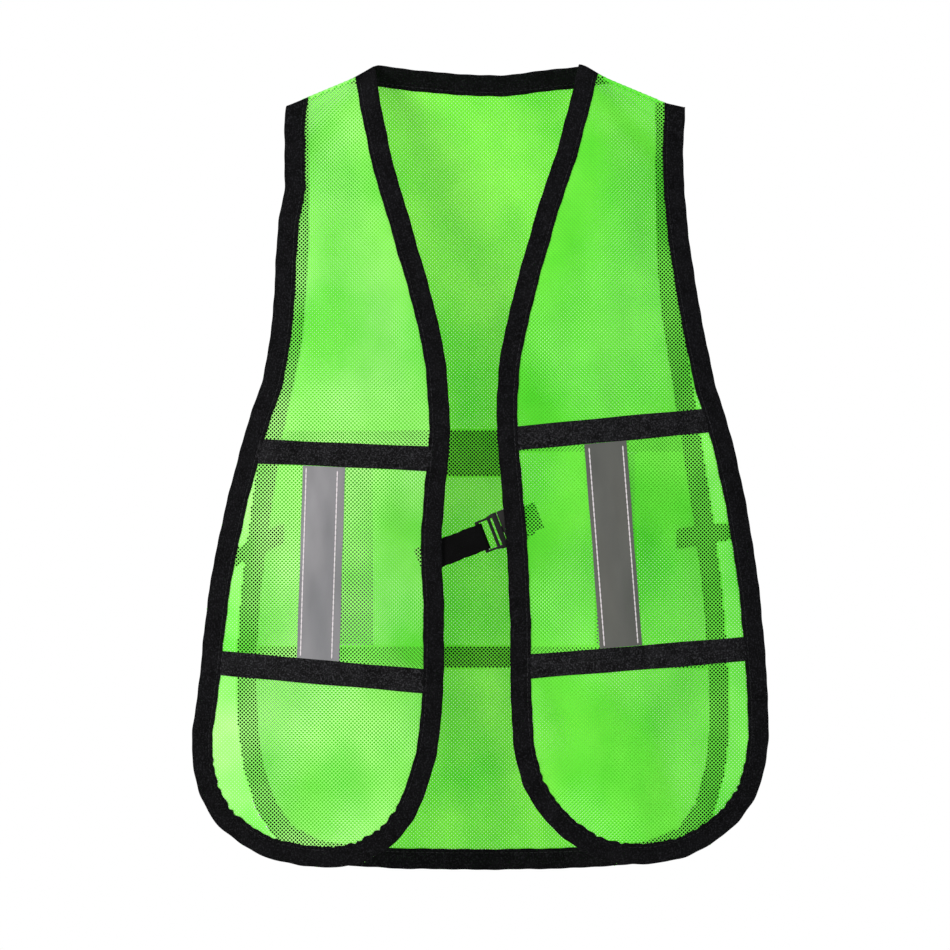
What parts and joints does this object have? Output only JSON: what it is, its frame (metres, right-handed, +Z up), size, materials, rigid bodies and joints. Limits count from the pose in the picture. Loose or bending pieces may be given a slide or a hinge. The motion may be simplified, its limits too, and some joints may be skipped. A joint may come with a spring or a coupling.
{
  "type": "high visibility vest",
  "caption": "Child size open sided safety vest of neon mesh with bound edges, reflective strips, elastic side straps and a side release buckle.",
  "frame": {"origin": "where the vest rests on the shoulders: the height of the neck ends of the shoulder line, in the middle of the neck, between front and back", "axes": "+Z up, the front faces -Y, +X to the wearer's left"},
  "size_m": [0.3475, 0.0918, 0.4876],
  "materials": {
    "mesh": "open knitted polyester mesh, fluorescent green, matt",
    "binding": "black woven polyester tape folded over the edge, stitched",
    "cross_tape": "black woven polyester tape, stitched flat",
    "reflective": "grey glass bead reflective fabric tape, satin",
    "elastic": "black knitted elastic",
    "webbing": "black woven webbing",
    "buckle": "black moulded acetal, fine satin"
  },
  "bodies": {
    "back": {"back_mesh": "mesh", "left_back_side_binding": "binding", "right_back_side_binding": "binding", "back_hem_binding": "binding", "back_neck_binding": "binding", "back_upper_tape": "cross_tape", "back_lower_tape": "cross_tape", "back_centre_patch": "cross_tape", "left_back_reflective_strip": "reflective", "right_back_reflective_strip": "reflective", "left_side_strap": "elastic", "right_side_strap": "elastic"},
    "left_front": {"left_front_mesh": "mesh", "left_front_edge_binding": "binding", "left_front_side_binding": "binding", "left_front_hem_binding": "binding", "left_front_upper_tape": "cross_tape", "left_front_lower_tape": "cross_tape", "left_front_reflective_strip": "reflective", "socket_strap": "webbing"},
    "right_front": {"right_front_mesh": "mesh", "right_front_edge_binding": "binding", "right_front_side_binding": "binding", "right_front_hem_binding": "binding", "right_front_upper_tape": "cross_tape", "right_front_lower_tape": "cross_tape", "right_front_reflective_strip": "reflective", "closure_strap_tail": "webbing"},
    "socket": {"buckle_socket": "buckle"},
    "clip": {"buckle_clip": "buckle"},
    "upper_prong": {"clip_upper_prong": "buckle"},
    "lower_prong": {"clip_lower_prong": "buckle"},
    "strap": {"closure_strap": "webbing"}
  },
  "joints": [
    {"name": "left_front_swing", "type": "hinge", "parent": "back", "child": "left_front", "pos_m": [0.125, 0, -0.028], "axis": [-0.1275, 0.0364, 0.9912], "range_deg": [0, 60]},
    {"name": "right_front_swing", "type": "hinge", "parent": "back", "child": "right_front", "pos_m": [-0.125, 0, -0.028], "axis": [-0.1275, -0.0364, -0.9912], "range_deg": [0, 60]},
    {"name": "buckle_tilt", "type": "hinge", "parent": "left_front", "child": "socket", "pos_m": [0.02864, -0.0404, -0.27432], "axis": [0.3633, 0, -0.9317], "range_deg": [0, 25]},
    {"name": "buckle_release", "type": "slide", "parent": "socket", "child": "clip", "axis": [-0.9317, 0, -0.3633], "range_m": [0, 0.016], "deforming": ["clip_upper_prong", "clip_lower_prong"]},
    {"name": "upper_prong_squeeze", "type": "hinge", "parent": "clip", "child": "upper_prong", "pos_m": [0.01077, -0.0404, -0.27281], "axis": [0, 1, 0], "range_deg": [0, 10], "stiffness_Nm_per_rad": 0.02},
    {"name": "lower_prong_squeeze", "type": "hinge", "parent": "clip", "child": "lower_prong", "pos_m": [0.0165, -0.0404, -0.28753], "axis": [0, -1, 0], "range_deg": [0, 10], "stiffness_Nm_per_rad": 0.02},
    {"name": "strap_tilt", "type": "hinge", "parent": "clip", "child": "strap", "pos_m": [0.00124, -0.0404, -0.285], "axis": [0.3633, 0, -0.9317], "range_deg": [-25, 40]}
  ],
  "couplings": [
    {"joint": "lower_prong_squeeze", "follows": "upper_prong_squeeze", "ratio": 1}
  ]
}
